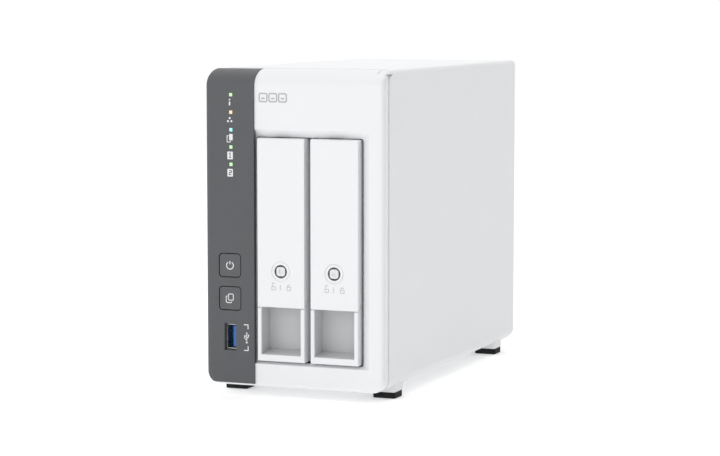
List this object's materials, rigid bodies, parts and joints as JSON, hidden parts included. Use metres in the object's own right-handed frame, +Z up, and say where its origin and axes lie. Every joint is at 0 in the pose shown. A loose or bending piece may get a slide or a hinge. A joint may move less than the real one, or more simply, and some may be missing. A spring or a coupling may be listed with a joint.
{
  "type": "network attached storage",
  "caption": "Upright desktop network storage case with sliding drive trays, swinging levers, key locks, push buttons, a rear fan and rear sockets.",
  "frame": {"origin": "on the surface the feet stand on, under the middle of the case", "axes": "+X to the right seen from the front, +Y from the front to the rear, +Z up"},
  "size_m": [0.102, 0.22, 0.1747],
  "materials": {
    "white_plastic": "satin moulded",
    "shell_white": "fine texture",
    "dark_grey_plastic": "fine texture",
    "black_plastic": "satin",
    "rubber": "matt",
    "zinc_steel": "galvanised",
    "socket_steel": "plated",
    "cast_aluminium": "cast",
    "lid_steel": "satin",
    "sink_aluminium": "anodised",
    "board_green": "solder mask",
    "chip_black": "moulded",
    "usb_blue": "moulded",
    "lens_green": "lit",
    "lens_orange": "lit",
    "lens_cyan": "lit",
    "lock_light": "satin",
    "bronze": "sintered",
    "screw_steel": "plated",
    "cell_steel": "plated"
  },
  "bodies": {
    "case": {"backplane_board": "board_green", "board_chips": "chip_black", "board_screws": "screw_steel", "cage_screws": "screw_steel", "case_screws": "screw_steel", "cell_holder": "black_plastic", "coin_cell": "cell_steel", "drive_1_lens": "lens_green", "drive_2_lens": "lens_green", "drive_cage": "zinc_steel", "fan_bearing": "bronze", "fan_frame": "black_plastic", "fan_screws": "screw_steel", "front_bezel": "white_plastic", "front_panel": "dark_grey_plastic", "front_usb_shell": "socket_steel", "front_usb_tongue": "usb_blue", "heat_sink": "sink_aluminium", "indicator_board": "board_green", "lan_socket_1": "socket_steel", "lan_socket_2": "socket_steel", "main_board": "board_green", "network_lens": "lens_orange", "power_jack": "black_plastic", "rear_panel": "shell_white", "rear_usb_shells": "socket_steel", "rear_usb_tongues": "usb_blue", "rubber_feet": "rubber", "sata_sockets": "black_plastic", "side_shell": "shell_white", "status_lens": "lens_green", "tact_switches": "black_plastic", "top_cover": "shell_white", "tray_guides": "black_plastic", "usb_lens": "lens_cyan"},
    "power_button": {"power_button": "dark_grey_plastic"},
    "copy_button": {"copy_button": "dark_grey_plastic"},
    "reset_button": {"reset_button": "black_plastic"},
    "fan_rotor": {"fan_rotor": "black_plastic"},
    "left_tray": {"left_tray_frame": "white_plastic", "left_lever_pin": "screw_steel", "left_drive_body": "cast_aluminium", "left_drive_lid": "lid_steel", "left_drive_board": "board_green", "left_drive_connector": "black_plastic", "left_drive_screws": "screw_steel"},
    "left_lever": {"left_tray_lever": "white_plastic", "left_lock_collar": "black_plastic"},
    "left_lock": {"left_lock_plug": "lock_light"},
    "right_tray": {"right_tray_frame": "white_plastic", "right_lever_pin": "screw_steel", "right_drive_body": "cast_aluminium", "right_drive_lid": "lid_steel", "right_drive_board": "board_green", "right_drive_connector": "black_plastic", "right_drive_screws": "screw_steel"},
    "right_lever": {"right_tray_lever": "white_plastic", "right_lock_collar": "black_plastic"},
    "right_lock": {"right_lock_plug": "lock_light"}
  },
  "joints": [
    {"name": "left_tray_slide", "type": "slide", "parent": "case", "child": "left_tray", "axis": [0, -1, 0], "range_m": [0, 0.165]},
    {"name": "left_lever_swing", "type": "hinge", "parent": "left_tray", "child": "left_lever", "pos_m": [-0.0074, -0.1072, 0.1351], "axis": [-1, 0, 0], "range_deg": [0, 60]},
    {"name": "left_lock_turn", "type": "hinge", "parent": "left_lever", "child": "left_lock", "pos_m": [-0.0074, -0.108, 0.0679], "axis": [0, 1, 0], "range_deg": [0, 90]},
    {"name": "right_tray_slide", "type": "slide", "parent": "case", "child": "right_tray", "axis": [0, -1, 0], "range_m": [0, 0.165]},
    {"name": "right_lever_swing", "type": "hinge", "parent": "right_tray", "child": "right_lever", "pos_m": [0.0231, -0.1072, 0.1351], "axis": [-1, 0, 0], "range_deg": [0, 60]},
    {"name": "right_lock_turn", "type": "hinge", "parent": "right_lever", "child": "right_lock", "pos_m": [0.0231, -0.108, 0.0679], "axis": [0, 1, 0], "range_deg": [0, 90]},
    {"name": "power_press", "type": "slide", "parent": "case", "child": "power_button", "axis": [0, 1, 0], "range_m": [0, 0.001], "stiffness_N_per_m": 400, "springref_m": -0.001},
    {"name": "copy_press", "type": "slide", "parent": "case", "child": "copy_button", "axis": [0, 1, 0], "range_m": [0, 0.001], "stiffness_N_per_m": 400, "springref_m": -0.001},
    {"name": "reset_press", "type": "slide", "parent": "case", "child": "reset_button", "axis": [0, -1, 0], "range_m": [0, 0.0006], "stiffness_N_per_m": 300, "springref_m": -0.0006},
    {"name": "fan_spin", "type": "hinge", "parent": "case", "child": "fan_rotor", "pos_m": [0.0125, 0.095, 0.0975], "axis": [0, 1, 0], "continuous": true}
  ]
}
